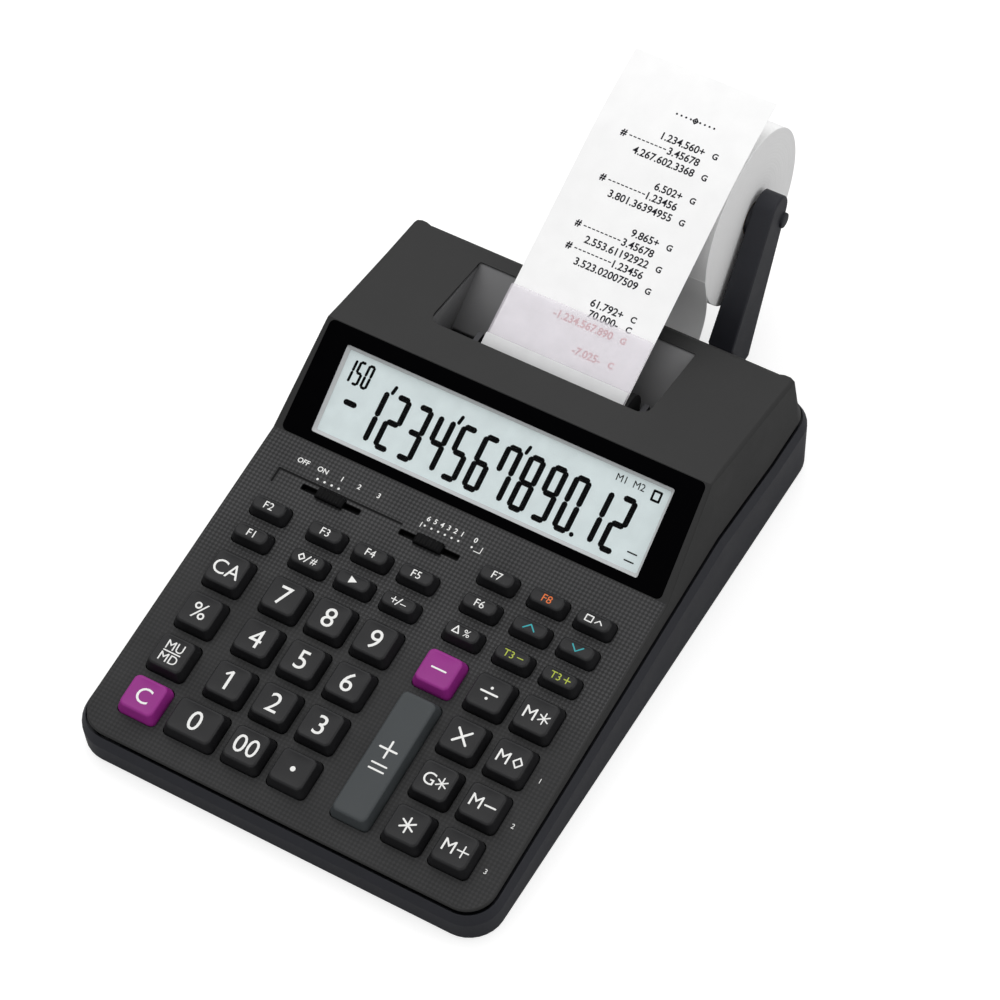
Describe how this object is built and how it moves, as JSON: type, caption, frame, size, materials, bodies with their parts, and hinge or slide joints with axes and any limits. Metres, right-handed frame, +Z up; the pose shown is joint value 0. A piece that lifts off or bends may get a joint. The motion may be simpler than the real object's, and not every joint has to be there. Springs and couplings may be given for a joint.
{
  "type": "desk calculator",
  "caption": "Desk calculator with a sloped keyboard, tilted display, paper-roll printer and a hinged roll holder at the rear.",
  "frame": {"origin": "on the plane of the feet, under the middle of the whole object", "axes": "+X to the user's right, +Y to the rear, +Z up"},
  "size_m": [0.165, 0.3166, 0.098],
  "materials": {
    "navy_plastic": "fine satin moulding, navy-black",
    "charcoal_plastic": "charcoal moulding, embossed on the keyboard plate",
    "display_cover": "polished clear cover, black border",
    "lcd_glass": "pale blue-grey liquid-crystal glass",
    "circuit_board": "green solder mask",
    "silicone": "grey silicone rubber",
    "plated_steel": "plated sheet steel",
    "clear_guard": "clear plastic",
    "paper": "white bond paper",
    "rubber": "black rubber",
    "switch_plastic": "black moulding",
    "ink_felt": "ink-soaked felt",
    "key_black": "black key moulding, satin",
    "key_purple": "purple key moulding",
    "key_grey": "grey key moulding"
  },
  "bodies": {
    "case": {"bottom_case": "navy_plastic", "top_case": "charcoal_plastic", "display_window": "display_cover", "lcd_panel": "lcd_glass", "main_board": "circuit_board", "keypad_mat": "silicone", "printer_frame": "plated_steel", "tear_window": "clear_guard", "paper_tape": "paper", "feet": "rubber"},
    "key_clear": {"key_clear": "key_purple"},
    "key_0": {"key_0": "key_black"},
    "key_00": {"key_00": "key_black"},
    "key_point": {"key_point": "key_black"},
    "key_plus_equals": {"key_plus_equals": "key_grey"},
    "key_total": {"key_total": "key_black"},
    "key_memory_plus": {"key_memory_plus": "key_black"},
    "key_markup": {"key_markup": "key_black"},
    "key_1": {"key_1": "key_black"},
    "key_2": {"key_2": "key_black"},
    "key_3": {"key_3": "key_black"},
    "key_grand_total": {"key_grand_total": "key_black"},
    "key_memory_minus": {"key_memory_minus": "key_black"},
    "key_percent": {"key_percent": "key_black"},
    "key_4": {"key_4": "key_black"},
    "key_5": {"key_5": "key_black"},
    "key_6": {"key_6": "key_black"},
    "key_multiply": {"key_multiply": "key_black"},
    "key_memory_subtotal": {"key_memory_subtotal": "key_black"},
    "key_clear_all": {"key_clear_all": "key_black"},
    "key_7": {"key_7": "key_black"},
    "key_8": {"key_8": "key_black"},
    "key_9": {"key_9": "key_black"},
    "key_minus": {"key_minus": "key_purple"},
    "key_divide": {"key_divide": "key_black"},
    "key_memory_total": {"key_memory_total": "key_black"},
    "key_item": {"key_item": "key_black"},
    "key_nonadd": {"key_nonadd": "key_black"},
    "key_backspace": {"key_backspace": "key_black"},
    "key_sign": {"key_sign": "key_black"},
    "key_delta_percent": {"key_delta_percent": "key_black"},
    "key_tax_minus": {"key_tax_minus": "key_black"},
    "key_tax_plus": {"key_tax_plus": "key_black"},
    "key_time": {"key_time": "key_black"},
    "key_cost": {"key_cost": "key_black"},
    "key_sell": {"key_sell": "key_black"},
    "key_margin": {"key_margin": "key_black"},
    "key_correct": {"key_correct": "key_black"},
    "key_check_back": {"key_check_back": "key_black"},
    "key_check_next": {"key_check_next": "key_black"},
    "key_print": {"key_print": "key_black"},
    "key_reprint": {"key_reprint": "key_black"},
    "key_feed": {"key_feed": "key_black"},
    "mode_switch": {"mode_switch": "switch_plastic"},
    "decimal_switch": {"decimal_switch": "switch_plastic"},
    "platen_roller": {"platen_roller": "rubber"},
    "ink_roller": {"ink_roller": "ink_felt"},
    "paper_arms": {"paper_arms": "navy_plastic"},
    "paper_roll": {"paper_roll": "paper"},
    "battery_door": {"battery_door": "navy_plastic"}
  },
  "joints": [
    {"name": "key_clear_press", "type": "slide", "parent": "case", "child": "key_clear", "axis": [0, 0.1452, -0.9894], "range_m": [0, 0.0025], "stiffness_N_per_m": 200, "springref_m": -0.0006},
    {"name": "key_0_press", "type": "slide", "parent": "case", "child": "key_0", "axis": [0, 0.1452, -0.9894], "range_m": [0, 0.0025], "stiffness_N_per_m": 200, "springref_m": -0.0006},
    {"name": "key_00_press", "type": "slide", "parent": "case", "child": "key_00", "axis": [0, 0.1452, -0.9894], "range_m": [0, 0.0025], "stiffness_N_per_m": 200, "springref_m": -0.0006},
    {"name": "key_point_press", "type": "slide", "parent": "case", "child": "key_point", "axis": [0, 0.1452, -0.9894], "range_m": [0, 0.0025], "stiffness_N_per_m": 200, "springref_m": -0.0006},
    {"name": "key_plus_equals_press", "type": "slide", "parent": "case", "child": "key_plus_equals", "axis": [0, 0.1452, -0.9894], "range_m": [0, 0.0025], "stiffness_N_per_m": 200, "springref_m": -0.0006},
    {"name": "key_total_press", "type": "slide", "parent": "case", "child": "key_total", "axis": [0, 0.1452, -0.9894], "range_m": [0, 0.0025], "stiffness_N_per_m": 200, "springref_m": -0.0006},
    {"name": "key_memory_plus_press", "type": "slide", "parent": "case", "child": "key_memory_plus", "axis": [0, 0.1452, -0.9894], "range_m": [0, 0.0025], "stiffness_N_per_m": 200, "springref_m": -0.0006},
    {"name": "key_markup_press", "type": "slide", "parent": "case", "child": "key_markup", "axis": [0, 0.1452, -0.9894], "range_m": [0, 0.0025], "stiffness_N_per_m": 200, "springref_m": -0.0006},
    {"name": "key_1_press", "type": "slide", "parent": "case", "child": "key_1", "axis": [0, 0.1452, -0.9894], "range_m": [0, 0.0025], "stiffness_N_per_m": 200, "springref_m": -0.0006},
    {"name": "key_2_press", "type": "slide", "parent": "case", "child": "key_2", "axis": [0, 0.1452, -0.9894], "range_m": [0, 0.0025], "stiffness_N_per_m": 200, "springref_m": -0.0006},
    {"name": "key_3_press", "type": "slide", "parent": "case", "child": "key_3", "axis": [0, 0.1452, -0.9894], "range_m": [0, 0.0025], "stiffness_N_per_m": 200, "springref_m": -0.0006},
    {"name": "key_grand_total_press", "type": "slide", "parent": "case", "child": "key_grand_total", "axis": [0, 0.1452, -0.9894], "range_m": [0, 0.0025], "stiffness_N_per_m": 200, "springref_m": -0.0006},
    {"name": "key_memory_minus_press", "type": "slide", "parent": "case", "child": "key_memory_minus", "axis": [0, 0.1452, -0.9894], "range_m": [0, 0.0025], "stiffness_N_per_m": 200, "springref_m": -0.0006},
    {"name": "key_percent_press", "type": "slide", "parent": "case", "child": "key_percent", "axis": [0, 0.1452, -0.9894], "range_m": [0, 0.0025], "stiffness_N_per_m": 200, "springref_m": -0.0006},
    {"name": "key_4_press", "type": "slide", "parent": "case", "child": "key_4", "axis": [0, 0.1452, -0.9894], "range_m": [0, 0.0025], "stiffness_N_per_m": 200, "springref_m": -0.0006},
    {"name": "key_5_press", "type": "slide", "parent": "case", "child": "key_5", "axis": [0, 0.1452, -0.9894], "range_m": [0, 0.0025], "stiffness_N_per_m": 200, "springref_m": -0.0006},
    {"name": "key_6_press", "type": "slide", "parent": "case", "child": "key_6", "axis": [0, 0.1452, -0.9894], "range_m": [0, 0.0025], "stiffness_N_per_m": 200, "springref_m": -0.0006},
    {"name": "key_multiply_press", "type": "slide", "parent": "case", "child": "key_multiply", "axis": [0, 0.1452, -0.9894], "range_m": [0, 0.0025], "stiffness_N_per_m": 200, "springref_m": -0.0006},
    {"name": "key_memory_subtotal_press", "type": "slide", "parent": "case", "child": "key_memory_subtotal", "axis": [0, 0.1452, -0.9894], "range_m": [0, 0.0025], "stiffness_N_per_m": 200, "springref_m": -0.0006},
    {"name": "key_clear_all_press", "type": "slide", "parent": "case", "child": "key_clear_all", "axis": [0, 0.1452, -0.9894], "range_m": [0, 0.0025], "stiffness_N_per_m": 200, "springref_m": -0.0006},
    {"name": "key_7_press", "type": "slide", "parent": "case", "child": "key_7", "axis": [0, 0.1452, -0.9894], "range_m": [0, 0.0025], "stiffness_N_per_m": 200, "springref_m": -0.0006},
    {"name": "key_8_press", "type": "slide", "parent": "case", "child": "key_8", "axis": [0, 0.1452, -0.9894], "range_m": [0, 0.0025], "stiffness_N_per_m": 200, "springref_m": -0.0006},
    {"name": "key_9_press", "type": "slide", "parent": "case", "child": "key_9", "axis": [0, 0.1452, -0.9894], "range_m": [0, 0.0025], "stiffness_N_per_m": 200, "springref_m": -0.0006},
    {"name": "key_minus_press", "type": "slide", "parent": "case", "child": "key_minus", "axis": [0, 0.1452, -0.9894], "range_m": [0, 0.0025], "stiffness_N_per_m": 200, "springref_m": -0.0006},
    {"name": "key_divide_press", "type": "slide", "parent": "case", "child": "key_divide", "axis": [0, 0.1452, -0.9894], "range_m": [0, 0.0025], "stiffness_N_per_m": 200, "springref_m": -0.0006},
    {"name": "key_memory_total_press", "type": "slide", "parent": "case", "child": "key_memory_total", "axis": [0, 0.1452, -0.9894], "range_m": [0, 0.0025], "stiffness_N_per_m": 200, "springref_m": -0.0006},
    {"name": "key_item_press", "type": "slide", "parent": "case", "child": "key_item", "axis": [0, 0.1452, -0.9894], "range_m": [0, 0.0025], "stiffness_N_per_m": 200, "springref_m": -0.0006},
    {"name": "key_nonadd_press", "type": "slide", "parent": "case", "child": "key_nonadd", "axis": [0, 0.1452, -0.9894], "range_m": [0, 0.0025], "stiffness_N_per_m": 200, "springref_m": -0.0006},
    {"name": "key_backspace_press", "type": "slide", "parent": "case", "child": "key_backspace", "axis": [0, 0.1452, -0.9894], "range_m": [0, 0.0025], "stiffness_N_per_m": 200, "springref_m": -0.0006},
    {"name": "key_sign_press", "type": "slide", "parent": "case", "child": "key_sign", "axis": [0, 0.1452, -0.9894], "range_m": [0, 0.0025], "stiffness_N_per_m": 200, "springref_m": -0.0006},
    {"name": "key_delta_percent_press", "type": "slide", "parent": "case", "child": "key_delta_percent", "axis": [0, 0.1452, -0.9894], "range_m": [0, 0.0025], "stiffness_N_per_m": 200, "springref_m": -0.0006},
    {"name": "key_tax_minus_press", "type": "slide", "parent": "case", "child": "key_tax_minus", "axis": [0, 0.1452, -0.9894], "range_m": [0, 0.0025], "stiffness_N_per_m": 200, "springref_m": -0.0006},
    {"name": "key_tax_plus_press", "type": "slide", "parent": "case", "child": "key_tax_plus", "axis": [0, 0.1452, -0.9894], "range_m": [0, 0.0025], "stiffness_N_per_m": 200, "springref_m": -0.0006},
    {"name": "key_time_press", "type": "slide", "parent": "case", "child": "key_time", "axis": [0, 0.1452, -0.9894], "range_m": [0, 0.0025], "stiffness_N_per_m": 200, "springref_m": -0.0006},
    {"name": "key_cost_press", "type": "slide", "parent": "case", "child": "key_cost", "axis": [0, 0.1452, -0.9894], "range_m": [0, 0.0025], "stiffness_N_per_m": 200, "springref_m": -0.0006},
    {"name": "key_sell_press", "type": "slide", "parent": "case", "child": "key_sell", "axis": [0, 0.1452, -0.9894], "range_m": [0, 0.0025], "stiffness_N_per_m": 200, "springref_m": -0.0006},
    {"name": "key_margin_press", "type": "slide", "parent": "case", "child": "key_margin", "axis": [0, 0.1452, -0.9894], "range_m": [0, 0.0025], "stiffness_N_per_m": 200, "springref_m": -0.0006},
    {"name": "key_correct_press", "type": "slide", "parent": "case", "child": "key_correct", "axis": [0, 0.1452, -0.9894], "range_m": [0, 0.0025], "stiffness_N_per_m": 200, "springref_m": -0.0006},
    {"name": "key_check_back_press", "type": "slide", "parent": "case", "child": "key_check_back", "axis": [0, 0.1452, -0.9894], "range_m": [0, 0.0025], "stiffness_N_per_m": 200, "springref_m": -0.0006},
    {"name": "key_check_next_press", "type": "slide", "parent": "case", "child": "key_check_next", "axis": [0, 0.1452, -0.9894], "range_m": [0, 0.0025], "stiffness_N_per_m": 200, "springref_m": -0.0006},
    {"name": "key_print_press", "type": "slide", "parent": "case", "child": "key_print", "axis": [0, 0.1452, -0.9894], "range_m": [0, 0.0025], "stiffness_N_per_m": 200, "springref_m": -0.0006},
    {"name": "key_reprint_press", "type": "slide", "parent": "case", "child": "key_reprint", "axis": [0, 0.1452, -0.9894], "range_m": [0, 0.0025], "stiffness_N_per_m": 200, "springref_m": -0.0006},
    {"name": "key_feed_press", "type": "slide", "parent": "case", "child": "key_feed", "axis": [0, 0.1452, -0.9894], "range_m": [0, 0.0025], "stiffness_N_per_m": 200, "springref_m": -0.0006},
    {"name": "mode_switch_slide", "type": "slide", "parent": "case", "child": "mode_switch", "axis": [1, 0, 0], "range_m": [-0.0062, 0.0062]},
    {"name": "decimal_switch_slide", "type": "slide", "parent": "case", "child": "decimal_switch", "axis": [1, 0, 0], "range_m": [-0.0062, 0.0062]},
    {"name": "arms_hinge", "type": "hinge", "parent": "case", "child": "paper_arms", "pos_m": [0.002, 0.08525, 0.0135], "axis": [1, 0, 0], "range_deg": [-24, 0], "deforming": ["paper_tape"]},
    {"name": "paper_roll_spin", "type": "hinge", "parent": "paper_arms", "child": "paper_roll", "pos_m": [0.002, 0.12375, 0.0545], "axis": [1, 0, 0], "continuous": true},
    {"name": "platen_spin", "type": "hinge", "parent": "case", "child": "platen_roller", "pos_m": [0.002, 0.03225, 0.0425], "axis": [1, 0, 0], "continuous": true},
    {"name": "ink_roller_spin", "type": "hinge", "parent": "case", "child": "ink_roller", "pos_m": [0.002, 0.01475, 0.0365], "axis": [1, 0, 0], "continuous": true},
    {"name": "battery_door_swing", "type": "hinge", "parent": "case", "child": "battery_door", "pos_m": [0, 0.00605, 0.0029], "axis": [1, 0, 0], "range_deg": [0, 95]}
  ],
  "couplings": [
    {"joint": "platen_spin", "follows": "paper_roll_spin", "ratio": -4.6}
  ]
}
